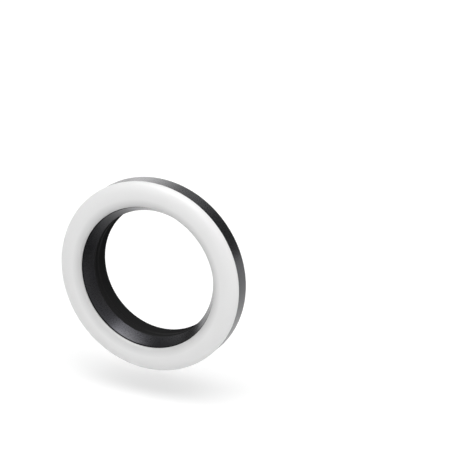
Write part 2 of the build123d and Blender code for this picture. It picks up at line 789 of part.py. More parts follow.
# Threaded adapter: hub, gripped flange and male thread in one turned ring
with BuildPart() as lens_adapter:
    with BuildSketch(Plane.XY):
        section(
            (aperture_radius, hub_front),
            (hub_radius, hub_front),
            (hub_radius, flange_front),
            (flange_radius, flange_front),
            (flange_radius, shoulder_depth),
            (thread_radius, shoulder_depth),
            (thread_radius, shoulder_depth + thread_length - thread_chamfer),
            (thread_radius - thread_chamfer, shoulder_depth + thread_length),
            (aperture_radius, shoulder_depth + thread_length),
        )
    revolve(axis=Axis.Y)
    groove_front = snap_front - thread_gap
    groove_back = snap_back + thread_gap
    ring(snap_inner - running_gap, hub_radius + running_gap, groove_front, groove_back, Mode.SUBTRACT)
    with BuildSketch(across(shoulder_depth)):
        with PolarLocations(flange_radius + grip_radius - grip_depth, grip_count):
            Circle(grip_radius)
    extrude(amount=flange_thickness, mode=Mode.SUBTRACT)
lens_adapter.part.label = "lens_adapter"
export_step(lens_adapter.part, "parts/lens_adapter.step")

# Magnet ring: turns on the hub and carries the magnets in pockets in its front
with BuildPart() as magnet_ring:
    ring(turntable_inner, turntable_radius, turntable_front, turntable_back)
    outer_edges = magnet_ring.edges().filter_by(GeomType.CIRCLE).sort_by(SortBy.RADIUS)[-2:]
    chamfer(outer_edges, magnet_ring_edge)
    ring(turntable_inner - running_gap, counterbore_radius, turntable_front, ledge_front, Mode.SUBTRACT)
    with BuildSketch(across(turntable_front)):
        with PolarLocations(magnet_circle, magnet_count):
            Circle(magnet_radius + glue_gap)
    extrude(amount=-(magnet_thickness + glue_gap * 2), mode=Mode.SUBTRACT)
magnet_ring.part.label = "magnet_ring"
export_step(magnet_ring.part, "parts/magnet_ring.step")

# Magnets: plated discs that hold the light by its keeper ring
with BuildPart() as magnets:
    with BuildSketch(across(turntable_front + glue_gap)):
        with PolarLocations(magnet_circle, magnet_count):
            Circle(magnet_radius)
    extrude(amount=-magnet_thickness)
magnets.part.label = "magnets"
export_step(magnets.part, "parts/magnets.step")

# Snap ring: split steel ring in the hub's groove, keeps the magnet ring on
with BuildPart() as snap_ring:
    with BuildSketch(across(snap_back)):
        sector(snap_inner, snap_outer, snap_gap_angle / 2, 360 - snap_gap_angle / 2)
    extrude(amount=snap_thickness)
snap_ring.part.label = "snap_ring"
export_step(snap_ring.part, "parts/snap_ring.step")
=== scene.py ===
from collections import namedtuple
from math import cos, pi, radians, sin, sqrt, tan, tau

import bmesh
import bpy
from mathutils import Euler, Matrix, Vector


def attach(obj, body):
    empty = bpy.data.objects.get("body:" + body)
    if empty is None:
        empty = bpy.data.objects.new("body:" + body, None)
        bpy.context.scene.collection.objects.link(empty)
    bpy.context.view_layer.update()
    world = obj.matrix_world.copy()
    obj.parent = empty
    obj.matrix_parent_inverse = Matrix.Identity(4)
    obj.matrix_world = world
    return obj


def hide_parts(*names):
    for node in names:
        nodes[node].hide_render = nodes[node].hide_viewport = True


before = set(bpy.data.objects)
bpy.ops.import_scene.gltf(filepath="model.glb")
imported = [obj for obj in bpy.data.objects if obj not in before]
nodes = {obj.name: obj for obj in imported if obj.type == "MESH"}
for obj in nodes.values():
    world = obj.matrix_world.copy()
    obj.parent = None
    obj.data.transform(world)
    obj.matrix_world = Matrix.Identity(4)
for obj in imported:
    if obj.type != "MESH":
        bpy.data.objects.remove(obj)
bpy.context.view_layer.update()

collection = bpy.context.scene.collection

# THREADED ADAPTER. Turned from aluminium bar: a hub, a flange with grip notches milled round it
# and a male filter thread. It is anodised black over the fine rings that the lathe leaves.

mm = 0.001
steps_round = 360
shoulder_depth = 15.55
bore_radius = 31.6


def y_at(depth):
    """Place along the axis of what lies this many millimetres behind the front's highest point."""
    return (depth - shoulder_depth) * mm


def linear(hex_colour):
    """Linear colour of an sRGB hex value."""
    parts = [int(hex_colour[place:place + 2], 16) / 255 for place in (1, 3, 5)]
    bent = [part / 12.92 if part <= 0.04045 else ((part + 0.055) / 1.055) ** 2.4 for part in parts]
    return (*bent, 1)


def add(tree, kind, inputs=None, **settings):
    """One node with its settings and input values. A socket among the values is linked, and so
    is a node, from its first output."""
    made = tree.nodes.new(kind)
    for name, value in settings.items():
        setattr(made, name, value)
    for name, value in (inputs or {}).items():
        if isinstance(value, bpy.types.Node):
            value = value.outputs[0]
        if isinstance(value, bpy.types.NodeSocket):
            tree.links.new(value, made.inputs[name])
        else:
            made.inputs[name].default_value = value
    return made


Skin = namedtuple("Skin", "tree shader place")


def surface(name, colour, roughness, **values):
    """Material with its values set on one shader, and what patterns on it need to be drawn."""
    made = bpy.data.materials.new(name)
    made.use_nodes = True
    tree = made.node_tree
    tree.nodes.clear()
    fixed = {"Base Color": linear(colour), "Roughness": roughness}
    fixed.update({key.replace("_", " "): value for key, value in values.items()})
    shader = add(tree, "ShaderNodeBsdfPrincipled", fixed)
    add(tree, "ShaderNodeOutputMaterial", {"Surface": shader})
    place = add(tree, "ShaderNodeTexCoord").outputs["Object"]
    return made, Skin(tree, shader, place)


def shades(skin, pattern, low, high, start=0.35, end=0.65):
    """The surface's colour runs from low to high with the pattern."""
    ramp = add(skin.tree, "ShaderNodeValToRGB", {"Fac": pattern})
    for stop, position, colour in zip(ramp.color_ramp.elements, (start, end), (low, high)):
        stop.position = position
        stop.color = linear(colour)
    skin.tree.links.new(ramp.outputs["Color"], skin.shader.inputs["Base Color"])


def gloss(skin, pattern, low, high):
    """The surface's roughness runs from low to high with the pattern."""
    values = {"Value": pattern, "To Min": low, "To Max": high}
    scaled = add(skin.tree, "ShaderNodeMapRange", values)
    skin.tree.links.new(scaled.outputs["Result"], skin.shader.inputs["Roughness"])


def relief(skin, pattern, height):
    """The pattern stands this many millimetres high at most."""
    values = {"Height": pattern, "Distance": height * mm, "Strength": 1.0}
    bump = add(skin.tree, "ShaderNodeBump", values)
    skin.tree.links.new(bump.outputs["Normal"], skin.shader.inputs["Normal"])


def speckle(skin, size, detail=2.0):
    """Noise whose grains are this many millimetres across."""
    values = {"Vector": skin.place, "Scale": 1 / (size * mm), "Detail": detail}
    return add(skin.tree, "ShaderNodeTexNoise", values)


def turning_marks(skin, spacing):
    """Rings about the ring's axis, this many millimetres apart, as a lathe tool leaves them."""
    wave_at_scale_1 = tau / 20
    scale = wave_at_scale_1 / (spacing * mm)
    values = {"Vector": skin.place, "Scale": scale, "Distortion": 0.4}
    kind = {"wave_type": "RINGS", "rings_direction": "Y"}
    return add(skin.tree, "ShaderNodeTexWave", values, **kind).outputs["Fac"]


def eased(corners, radius, steps=3, hold=0.08):
    """Outline with rounded corners, and a point close beside each that keeps the flats flat."""
    least_turn, most_of_side = 0.25, 0.4
    outline = []
    for here, corner in enumerate(corners):
        own = corner[2] if len(corner) > 2 else radius
        middle = Vector(corner[:2])
        back = Vector(corners[here - 1][:2]) - middle
        on = Vector(corners[(here + 1) % len(corners)][:2]) - middle
        turn = pi - back.angle(on)
        if own == 0 or turn < least_turn:
            outline.append(middle)
            continue
        back_room, on_room = back.length * most_of_side, on.length * most_of_side
        reach = min(own * tan(turn / 2), back_room, on_room)
        start = middle + back.normalized() * reach
        end = middle + on.normalized() * reach
        if back_room > reach + hold:
            outline.append(start + back.normalized() * hold)
        for step in range(steps + 1):
            share = step / steps
            left = 1 - share
            outline.append(start * left ** 2 + middle * 2 * share * left + end * share ** 2)
        if on_room > reach + hold:
            outline.append(end + on.normalized() * hold)
    return outline


def placed_mesh(name, points, edges, faces):
    """New object at the origin with this mesh."""
    mesh = bpy.data.meshes.new(name)
    mesh.from_pydata(points, edges, faces)
    made = bpy.data.objects.new(name, mesh)
    collection.objects.link(made)
    return made


def loop_edges(points):
    """Edges that join the points in a loop."""
    return [(here, (here + 1) % len(points)) for here in range(len(points))]


def plain(piece):
    """The piece with its modifiers turned into a mesh of its own."""
    bpy.context.view_layer.update()
    shown = piece.evaluated_get(bpy.context.evaluated_depsgraph_get())
    mesh = bpy.data.meshes.new_from_object(shown)
    piece.modifiers.clear()
    piece.data = mesh
    return piece


def tidied(piece, angle=32):
    """The piece with doubled points merged, faces turned outwards and only real edges sharp."""
    work = bmesh.new()
    work.from_mesh(piece.data)
    bmesh.ops.remove_doubles(work, verts=work.verts, dist=1e-7)
    if work.calc_volume(signed=True) < 0:
        bmesh.ops.reverse_faces(work, faces=work.faces)
    work.to_mesh(piece.data)
    work.free()
    piece.data.shade_smooth()
    piece.data.set_sharp_from_angle(angle=radians(angle))
    return piece


def new_tree(name, sockets):
    """Geometry node tree with named inputs, and the outputs of its input node."""
    tree = bpy.data.node_groups.new(name, "GeometryNodeTree")
    tree.interface.new_socket("Geometry", in_out="INPUT", socket_type="NodeSocketGeometry")
    for title, kind in sockets.items():
        tree.interface.new_socket(title, in_out="INPUT", socket_type=f"NodeSocket{kind}")
    tree.interface.new_socket("Geometry", in_out="OUTPUT", socket_type="NodeSocketGeometry")
    return tree, add(tree, "NodeGroupInput").outputs


def close_tree(tree, given, shape):
    """The tree ends in plain geometry with its material set."""
    real = add(tree, "GeometryNodeRealizeInstances", {"Geometry": shape})
    painted = {"Geometry": real, "Material": given["Material"]}
    add(tree, "NodeGroupOutput", {"Geometry": add(tree, "GeometryNodeSetMaterial", painted)})


def through(tree, piece, inputs):
    """The piece as a plain mesh made by the tree, with the tree's named inputs set."""
    modifier = piece.modifiers.new(tree.name, "NODES")
    modifier.node_group = tree
    for socket in tree.interface.items_tree:
        if socket.in_out == "INPUT" and socket.name in inputs:
            modifier[socket.identifier] = inputs[socket.name]
    return plain(piece)


def settle(piece, body, slot, *replaced):
    """The finished piece rides on its body, in place of the solids that it stands for."""
    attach(piece, body)
    if replaced:
        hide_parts(*replaced)


# A profile in radius and depth is swept round the ring's axis, closed or with a gap.
turning, given = new_tree(
    "turned_about_the_axis",
    {"Middle Radius": "Float", "Steps": "Int", "Start": "Float", "Sweep": "Float",
     "Split": "Bool", "Material": "Material"},
)
shift = add(
    turning, "ShaderNodeMath", {0: given["Middle Radius"], 1: -1.0}, operation="MULTIPLY"
)
inwards = add(turning, "ShaderNodeCombineXYZ", {"X": shift})
line = add(turning, "GeometryNodeMeshToCurve", {"Mesh": given["Geometry"]})
moved = add(turning, "GeometryNodeTransform", {"Geometry": line, "Translation": inwards})
round_path = {"Resolution": given["Steps"], "Radius": given["Middle Radius"]}
part_path = round_path | {"Start Angle": given["Start"], "Sweep Angle": given["Sweep"]}
arc = add(turning, "GeometryNodeCurveArc", part_path)
circle = add(turning, "GeometryNodeCurvePrimitiveCircle", round_path)
path = add(
    turning, "GeometryNodeSwitch", {"Switch": given["Split"], "False": circle, "True": arc},
    input_type="GEOMETRY",
)
swept = add(
    turning, "GeometryNodeCurveToMesh",
    {"Curve": path, "Profile Curve": moved, "Fill Caps": given["Split"]},
)
upright = add(
    turning, "GeometryNodeTransform", {"Geometry": swept, "Rotation": Euler((pi / 2, 0, 0))}
)
close_tree(turning, given, upright)

# One piece at the right-hand side is set out again and again round the ring's axis.
setting_out, given = new_tree(
    "set_out_round_the_axis",
    {"Count": "Int", "First Angle": "Float", "Step Angle": "Float", "Material": "Material"},
)
spots = add(setting_out, "GeometryNodePoints", {"Count": given["Count"]})
number = add(setting_out, "GeometryNodeInputIndex")
angle = add(
    setting_out, "ShaderNodeMath",
    {0: number, 1: given["Step Angle"], 2: given["First Angle"]}, operation="MULTIPLY_ADD",
)
around = add(setting_out, "ShaderNodeMath", {0: angle, 1: -1.0}, operation="MULTIPLY")
turn = add(setting_out, "ShaderNodeCombineXYZ", {"Y": around})
copies = add(
    setting_out, "GeometryNodeInstanceOnPoints",
    {"Points": spots, "Instance": given["Geometry"], "Rotation": turn},
)
close_tree(setting_out, given, copies)


def turned(name, outline, material, start=0.0, sweep=360.0):
    """Ring with this outline of radius and depth, or a part of one with closed ends."""
    points = [(radius * mm, y_at(depth), 0) for radius, depth in outline]
    middle = sum(radius for radius, depth in outline) / len(outline) * mm
    inputs = {
        "Middle Radius": middle, "Steps": steps_round, "Start": radians(start),
        "Sweep": radians(sweep), "Split": sweep < 360, "Material": material,
    }
    return tidied(through(turning, placed_mesh(name, points, loop_edges(points), []), inputs))


def set_out(piece, material, count, first=0.0, step=None):
    """Copies of a piece made at angle 0, set out round the axis, evenly if no step is given."""
    piece.data.materials.append(material)
    inputs = {
        "Count": count, "First Angle": radians(first), "Material": material,
        "Step Angle": radians(360 / count if step is None else step),
    }
    return tidied(through(setting_out, piece, inputs))


def loft(name, loops):
    """Closed mesh through loops with as many points each, the first and last covered in strips."""
    count = len(loops[0])
    faces = []
    for row in range(len(loops) - 1):
        for here in range(count):
            beside = (here + 1) % count
            low, high = row * count, (row + 1) * count
            faces.append((low + here, low + beside, high + beside, high + here))
    last = (len(loops) - 1) * count
    for here in range(count // 2 - 1):
        strip = (here, here + 1, count - 2 - here, count - 1 - here)
        faces.append(strip[::-1])
        faces.append(tuple(last + place for place in strip))
    return placed_mesh(name, [point for loop in loops for point in loop], [], faces)


def disc(radius, depth, x, steps=24):
    """Circle across the axis, with its centre this far out along X."""
    angles = [(step + 0.5) * tau / steps for step in range(steps)]
    return [
        ((x + radius * cos(angle)) * mm, y_at(depth), radius * sin(angle) * mm) for angle in angles
    ]


def discs(name, x, levels, steps=24):
    """Closed mesh through circles across the axis, one for each radius and depth."""
    return loft(name, [disc(radius, depth, x, steps) for radius, depth in levels])


def cut(piece, cutter):
    """The cutter's shape is taken out of the piece, and the cutter goes."""
    modifier = piece.modifiers.new("cut", "BOOLEAN")
    modifier.object = cutter
    modifier.operation = "DIFFERENCE"
    modifier.solver = "EXACT"
    modifier.material_mode = "TRANSFER"
    plain(piece)
    bpy.data.objects.remove(cutter)
    tidied(piece)


def ribs(front, back):
    """Corners of the fine ribs that break up stray light in the bore, from back to front."""
    pitch, height, crest, corners = 0.5, 0.22, 0.65, []
    for rib in range(round((back - front) / pitch)):
        corners.append((bore_radius, back - rib * pitch, 0))
        corners.append((bore_radius + height, back - (rib + crest) * pitch, 0))
    return corners + [(bore_radius, front, 0)]


# Black anodised aluminium, bead blasted first: a dark metal whose soft sheen turns bright only
# at a low angle. The blasting's grain is near 0.1 mm, drawn at 0.3 mm so that it shows close up.
anodised, skin = surface("blasted_black_anodised_aluminium", "#39393b", 0.28, Metallic=1.0)
blasting = speckle(skin, 0.3, 3.0)
cloud = speckle(skin, 14)
shades(skin, cloud, "#37373a", "#3c3c3e")
gloss(skin, blasting, 0.24, 0.32)
relief(skin, blasting, 0.004)

# The same anodising over a turned face: fine rings 0.1 mm apart, drawn at 0.3 mm.
turned_black, skin = surface("turned_black_anodised_aluminium", "#39393b", 0.34, Metallic=1.0)
rings = turning_marks(skin, 0.3)
shades(skin, speckle(skin, 9), "#353538", "#3e3e41")
gloss(skin, rings, 0.3, 0.4)
relief(skin, rings, 0.006)

# Flat black paint, brushed over the ribs of both bores and the cone's front edge: it swallows
# stray light. It is painted shade as well: it darkens both bores, and on the cone's front edge it
# draws a painted shadow line under the white front. The brush leaves fine rings, and the
# matting powder in it a dry, even grain.
painted_shade_black, skin = surface(
    "painted_shade_flat_black", "#0c0c0d", 0.85, IOR=1.5, Specular_IOR_Level=0.15
)
shades(skin, turning_marks(skin, 0.4), "#09090a", "#101011")
grain = speckle(skin, 0.2, 3.0)
gloss(skin, grain, 0.78, 0.92)
relief(skin, grain, 0.01)


def painted_inside(piece):
    """The bore's faces and the cone's front edge take the flat black paint, as painted shade."""
    past_ribs, past_edge = (bore_radius + 0.3) * mm, y_at(2.65)
    piece.data.materials.append(painted_shade_black)
    for face in piece.data.polygons:
        out = Vector((face.center.x, face.center.z)).length
        if out < past_ribs or face.center.y < past_edge:
            face.material_index = len(piece.data.materials) - 1


hub_radius, hub_front = 32.6, 12.4
groove_floor, groove_front, groove_back = 32.075, 12.92, 13.38
flange_radius, flange_front = 38.275, 14.45
thread_root, thread_front, thread_end, lead_in = 33.04, 16.1, 19.05, 0.3
undercut_radius, undercut_end = thread_root - 0.12, 15.95
adapter_outline = eased(
    [
        (bore_radius, hub_front), (hub_radius, hub_front), (hub_radius, groove_front, 0),
        (groove_floor, groove_front, 0), (groove_floor, groove_back, 0),
        (hub_radius, groove_back, 0), (hub_radius, flange_front), (flange_radius, flange_front),
        (flange_radius, shoulder_depth), (undercut_radius, shoulder_depth),
        (undercut_radius, undercut_end), (thread_root, thread_front),
        (thread_root, thread_end - lead_in), (thread_root - lead_in, thread_end),
        (bore_radius, thread_end),
    ]
    + ribs(12.9, 18.9),
    0.12,
)
adapter_body = turned("adapter_body", adapter_outline, turned_black)
notch_count, notch_radius, notch_depth, notch_mouth = 72, 0.45, 0.3, 0.8
notch_levels = [
    (notch_mouth, 14.2), (notch_radius, 14.55), (notch_radius, 15.45), (notch_mouth, 15.8),
]
notch = discs("grip_notch", flange_radius + notch_radius - notch_depth, notch_levels, 12)
cut(adapter_body, set_out(notch, turned_black, notch_count))
painted_inside(adapter_body)
settle(adapter_body, "adapter", "black_anodised_aluminium", "lens_adapter")

# The thread's ridge is a low triangle on a spiral, and runs out thin at both ends.
threading, given = new_tree(
    "thread_on_a_spiral",
    {"Radius": "Float", "Turns": "Float", "Length": "Float", "Start": "Float",
     "Run Out": "Float", "Material": "Material"},
)
spiral = add(
    threading, "GeometryNodeCurveSpiral",
    {"Resolution": 180, "Rotations": given["Turns"], "Start Radius": given["Radius"],
     "End Radius": given["Radius"], "Height": given["Length"], "Reverse": True},
)
level = add(threading, "GeometryNodeSetCurveNormal", {"Curve": spiral}, mode="Z_UP")
along = add(threading, "GeometryNodeSplineParameter")
left = add(threading, "ShaderNodeMath", {0: 1.0, 1: along}, operation="SUBTRACT")
nearer = add(threading, "ShaderNodeMath", {0: along, 1: left}, operation="MINIMUM")
share = add(threading, "ShaderNodeMath", {0: nearer, 1: given["Run Out"]}, operation="DIVIDE")
thin = add(threading, "ShaderNodeClamp", {"Value": share, "Min": 0.05, "Max": 1.0})
scaled = add(threading, "GeometryNodeSetCurveRadius", {"Curve": level, "Radius": thin})
section = add(threading, "GeometryNodeMeshToCurve", {"Mesh": given["Geometry"]})
ridge = add(
    threading, "GeometryNodeCurveToMesh",
    {"Curve": scaled, "Profile Curve": section, "Scale": thin, "Fill Caps": True},
)
start = add(threading, "ShaderNodeCombineXYZ", {"Y": given["Start"]})
stood = add(
    threading, "GeometryNodeTransform",
    {"Geometry": ridge, "Rotation": Euler((-pi / 2, 0, 0)), "Translation": start},
)
close_tree(threading, given, stood)

thread_pitch, thread_height, thread_run, ridge_start = 0.75, 0.46, 2.55, 16.15
sunk, half_root, half_crest = 0.1, thread_pitch * 0.46, thread_pitch * 0.07
ridge_points = [
    (-sunk, -half_root), (0, -half_root), (thread_height, -half_crest),
    (thread_height, half_crest), (0, half_root), (-sunk, half_root),
]
thread_profile = placed_mesh(
    "adapter_thread", [(out * mm, side * mm, 0) for out, side in ridge_points],
    loop_edges(ridge_points), [],
)
adapter_thread = tidied(through(threading, thread_profile, {
    "Radius": thread_root * mm, "Turns": thread_run / thread_pitch, "Length": thread_run * mm,
    "Start": y_at(ridge_start), "Run Out": 0.05, "Material": turned_black,
}))
settle(adapter_thread, "adapter", "black_anodised_aluminium")

# SNAP RING. Flat split ring of hardened spring steel, sprung into the hub's groove to hold the
# magnet ring on. It is blued dark and lightly oiled, so its edges shine a little.
spring_steel, skin = surface("oiled_spring_steel", "#6a6865", 0.3, Metallic=1.0)
shades(skin, speckle(skin, 1.5, 4.0), "#5a5855", "#77746f")
gloss(skin, turning_marks(skin, 0.15), 0.22, 0.36)


def washer(inner, outer, front, back, edge):
    """Outline of a flat ring with rounded edges."""
    return eased([(inner, front), (outer, front), (outer, back), (inner, back)], edge)


snap_outline = washer(32.125, 33.075, 12.95, 13.35, 0.08)
snap_gap = 16
snap_ring = turned("split_ring", snap_outline, spring_steel, snap_gap / 2, 360 - snap_gap)
settle(snap_ring, "adapter", "spring_steel", "snap_ring")

# MAGNET RING. Turned aluminium ring that runs on the hub with a film of grease, so the light
# can be turned level. Sixteen blind pockets in its front hold the magnets.
magnet_circle, magnet_count, magnet_steps = 35.525, 16, 32
carrier_outer, carrier_front, carrier_back = 37.875, 12.0, 14.4
carrier_inner, counterbore, counterbore_floor = 32.65, 33.175, 13.4
magnet_ring_outline = eased(
    [
        (counterbore, carrier_front), (carrier_outer, carrier_front, 0.25),
        (carrier_outer, carrier_back, 0.25), (carrier_inner, carrier_back),
        (carrier_inner, counterbore_floor), (counterbore, counterbore_floor, 0),
    ],
    0.1,
)
magnet_ring = turned("magnet_carrier", magnet_ring_outline, turned_black)
pocket_levels = [(2.1, 11.75), (1.85, 12.1), (1.85, 13.6)]
pocket = discs("magnet_pocket", magnet_circle, pocket_levels, magnet_steps)
cut(magnet_ring, set_out(pocket, turned_black, magnet_count))
settle(magnet_ring, "turntable", "black_anodised_aluminium", "magnet_ring")

# MAGNETS. Sintered discs with a bright nickel plating, tumbled round at the edge and glued in.
nickel, skin = surface("nickel_plating", "#c9c4ba", 0.16, Metallic=1.0)
shades(skin, speckle(skin, 0.8, 3.0), "#bdb8ae", "#d2cdc3")
gloss(skin, speckle(skin, 0.25), 0.12, 0.24)
magnet_levels = [
    (1.6, 12.05), (1.74, 12.09), (1.8, 12.2), (1.8, 13.4), (1.74, 13.51), (1.6, 13.55),
]
magnet = discs("magnet_discs", magnet_circle, magnet_levels, magnet_steps)
settle(set_out(magnet, nickel, magnet_count), "turntable", "magnet_nickel", "magnets")

# HOUSING. One turned aluminium part: the rim, the cone and its bore, and the web between them
# with its screw bosses. Slots are milled through the rim for the buttons, the charging socket
# and the level lights, and it is blasted and anodised black.
rim_radius, rim_inner, rim_front = 46.8, 45.3, 4.4
web_front, web_back = 5.4, 6.4
ledge_outer, ledge_inner, ledge_depth, light_back = 45.8, 32.4, 10.8, 12.2
sleeve_radius, sleeve_front = 32.9, 8.2
cone_edge = [(34.72, 2.6, 0.05), (36.239, 2.4, 0.1)]
cone_at_web_front, cone_at_web_back = 34.458, 33.902
housing_outline = eased(
    cone_edge + [
        (cone_at_web_front, web_front, 0), (rim_inner, web_front, 0), (rim_inner, rim_front, 0.1),
        (rim_radius, rim_front, 0.25), (rim_radius, light_back, 0.2),
        (ledge_outer, light_back, 0.1), (ledge_outer, ledge_depth, 0), (rim_inner, ledge_depth, 0),
        (rim_inner, web_back, 0), (cone_at_web_back, web_back, 0), (sleeve_radius, sleeve_front, 0),
        (sleeve_radius, ledge_depth, 0), (ledge_inner, ledge_depth, 0),
        (ledge_inner, light_back, 0.1), (bore_radius, light_back, 0.2),
    ]
    + ribs(9.0, 11.5) + [(bore_radius, sleeve_front, 0.15)],
    0.1, steps=4,
)
housing = turned("housing_shell", housing_outline, anodised)


def rounded_loop(length, height, grow=0.0, corner=None, steps=7, runs=8):
    """Rounded rectangle of points along and across the rim, alike above and below."""
    corner = height / 2 if corner is None else corner
    flat, rise, bend = length / 2 - corner, height / 2 - corner, corner + grow
    arc = [(step + 0.5) / steps * pi / 2 for step in range(steps)]
    upper = [(flat + bend * cos(angle), rise + bend * sin(angle)) for angle in arc]
    upper += [(flat - 2 * flat * run / runs, rise + bend) for run in range(runs + 1)]
    upper += [(-flat - bend * cos(angle), rise + bend * sin(angle)) for angle in reversed(arc)]
    return upper + [(along, -across) for along, across in reversed(upper)]


def on_rim(points, angle, depth, radius, curved=True):
    """Points along and across the rim, carried out to this radius, on its curve or on a plane."""
    away = Vector((cos(radians(angle)), 0, sin(radians(angle))))
    beside = Vector((-sin(radians(angle)), 0, cos(radians(angle))))
    made = []
    for along, across in points:
        out = sqrt(radius * radius - along * along) if curved else radius
        made.append((away * out + beside * along) * mm + Vector((0, y_at(depth) - across * mm, 0)))
    return made


button_depth = 8.6


def in_rim(name, levels, length, height, angle, corner=None, curved=True):
    """Closed mesh in the rim: rounded rectangles, one for each radius and how far it is grown."""
    return loft(name, [
        on_rim(rounded_loop(length, height, grow, corner), angle, button_depth, radius, curved)
        for radius, grow in levels
    ])


button_angles = {"power": 180, "minus": 195, "plus": 210}
cap_length, cap_height, slot_gap = 7.6, 3.0, 0.12
socket_angle, socket_width, socket_height = 264, 8.94, 3.2
level_angles, level_step = (236, 240.5, 245, 249.5), 4.5
pin_hole_length, pin_hole_height, pin_gap = 1.42, 1.4, 0.05
openings = [(angle, cap_length, cap_height, slot_gap) for angle in button_angles.values()]
openings.append((socket_angle, socket_width, socket_height, slot_gap))
openings += [(angle, pin_hole_length, pin_hole_height, pin_gap) for angle in level_angles]
inside, outside, chamfer, flare = 44.3, 47.4, 0.12, 0.72
for angle, length, height, gap in openings:
    levels = [
        (inside, gap), (rim_radius - chamfer, gap), (rim_radius, gap + chamfer),
        (outside, gap + flare),
    ]
    cut(housing, tidied(in_rim("rim_opening", levels, length, height, angle)))
painted_inside(housing)
settle(housing, "light", "black_anodised_aluminium", "housing")

# Screw bosses for the cover, and pillars for the control board, stand on the web.
boss_circle, screw_count, first_screw = 43.9, 6, 45
boss_levels = [(1.7, 6.3), (1.7, 10.7), (1.6, 10.8), (0.95, 10.8), (0.83, 10.65), (0.83, 8.3)]
boss = discs("cover_bosses", boss_circle, boss_levels)
bosses = set_out(boss, anodised, screw_count, first_screw)
settle(bosses, "light", "black_anodised_aluminium")
pillar_circle = 35.0
pillar_levels = [(1.3, 6.3), (1.3, 9.3), (1.2, 9.4), (0.6, 9.4), (0.53, 9.3), (0.53, 7.3)]
for number, angle in enumerate((173.5, 219, 274.5), 1):
    pillar = discs(f"board_pillar_{number}", pillar_circle, pillar_levels)
    settle(set_out(pillar, anodised, 1, angle), "light", "black_anodised_aluminium")

# CONTROL BOARD. Fibreglass board under a green solder mask, with the chips that drive the LEDs
# and charge the cells. Copper tracks in rows show through the mask as paler, raised lines.
mask, skin = surface("green_solder_mask", "#1c5a35", 0.32, IOR=1.5)
across = add(
    skin.tree, "ShaderNodeMapping", {"Vector": skin.place, "Rotation": Euler((-pi / 2, 0, 0))}
)
tracks = add(
    skin.tree, "ShaderNodeTexBrick",
    {"Vector": across, "Scale": 1 / mm, "Brick Width": 9.0, "Row Height": 0.6,
     "Mortar Size": 0.1, "Mortar Smooth": 0.4},
    offset=0.37, squash=0.6, squash_frequency=3,
)
patches = add(
    skin.tree, "ShaderNodeMapRange",
    {"Value": speckle(skin, 5, 0.0), "From Min": 0.47, "From Max": 0.5},
)
copper = add(
    skin.tree, "ShaderNodeMath", {0: tracks.outputs["Fac"], 1: patches}, operation="MULTIPLY"
)
shades(skin, copper, "#184d2d", "#2a7a47", 0.2, 0.8)
relief(skin, copper, 0.02)

# Epoxy chip packages: dull black moulding with a fine, even grain.
package, skin = surface("moulded_epoxy", "#202022", 0.55, IOR=1.55)
grain = speckle(skin, 0.2)
shades(skin, grain, "#1c1c1e", "#262628")
relief(skin, grain, 0.008)

# Pressed ferrite: dark grey and slightly sandy.
ferrite, skin = surface("pressed_ferrite", "#4a4a4e", 0.6)
grain = speckle(skin, 0.25, 4.0)
shades(skin, grain, "#414145", "#57575c")
relief(skin, grain, 0.012)

# Fired ceramic chips: tan and eggshell smooth, with a pale glassy fleck.
ceramic, skin = surface("fired_chip_ceramic", "#b89a76", 0.42)
shades(skin, speckle(skin, 0.3, 3.0), "#a98b68", "#c6aa87")

# Reflowed solder: soft grey metal that froze in smooth, slightly wrinkled drops.
solder, skin = surface("reflowed_solder", "#c3c4c6", 0.28, Metallic=1.0)
wrinkle = speckle(skin, 0.35)
shades(skin, wrinkle, "#b3b4b7", "#cfd0d2")
relief(skin, wrinkle, 0.02)

# Gold flash over copper on the pins and contacts: thin, warm and very smooth.
gold, skin = surface("gold_flash", "#e6b85c", 0.2, Metallic=1.0)
shades(skin, speckle(skin, 0.4), "#dbab4c", "#eec472")

# Blackened screw steel: oxide finish with a faint oily sheen over fine thread-cutting marks.
black_steel, skin = surface("black_oxide_steel", "#3a3a3d", 0.34, Metallic=1.0)
shades(skin, speckle(skin, 0.5, 3.0), "#323235", "#444448")
gloss(skin, speckle(skin, 0.2), 0.28, 0.42)


def dress(material, *names):
    """CAD nodes that stay as they are get their finish."""
    for name in names:
        nodes[name].data.materials.clear()
        nodes[name].data.materials.append(material)


dress(mask, "control_board", "cell_boards")
dress(package, "controller_chip", "driver_chip", "charger_chip")
dress(ferrite, "inductor")
dress(ceramic, "capacitors", "resistors")
dress(solder, "solder_joints")
dress(gold, "link_pins")
dress(black_steel, "control_board_screws")

# SWITCHES. Side-push dome switches soldered to the board behind each button: a moulded body and
# a moulded plunger with a fine spark-eroded grain.
nylon, skin = surface("moulded_black_nylon", "#28282a", 0.48, IOR=1.53)
grain = speckle(skin, 0.2)
shades(skin, grain, "#232325", "#2f2f31")
relief(skin, grain, 0.006)
switch_parts = [f"{key}_{part}" for part in ("switch", "plunger") for key in button_angles]
dress(nylon, *switch_parts)

# CHARGING SOCKET. Seamless drawn steel shell round a glass-filled nylon tongue, with twelve
# gold-flashed contacts on each face. It sits a little behind the rim, and the drawing shows as
# fine streaks along the shell.
drawn_steel, skin = surface("drawn_stainless_steel", "#b9b9b8", 0.26, Metallic=1.0)
drawing = add(skin.tree, "ShaderNodeMapping", {"Vector": skin.place, "Scale": (1, 1, 0.12)})
streaks = speckle(skin._replace(place=drawing), 0.12)
shades(skin, streaks, "#a9a9a8", "#c6c6c5")
gloss(skin, streaks, 0.2, 0.34)


def coated(piece, material):
    """The piece tidied, with its material."""
    piece.data.materials.append(material)
    return tidied(piece)


shell_levels = [
    (39.1, -0.15), (39.2, -0.03), (39.35, 0), (46.3, 0), (46.37, -0.03), (46.4, -0.1),
    (46.4, -0.2), (46.35, -0.27), (46.25, -0.3), (39.4, -0.3),
]
shell = in_rim(
    "socket_sleeve", shell_levels, socket_width, socket_height, socket_angle, curved=False
)
settle(coated(shell, drawn_steel), "light", "socket_steel", "usb_socket_shell")

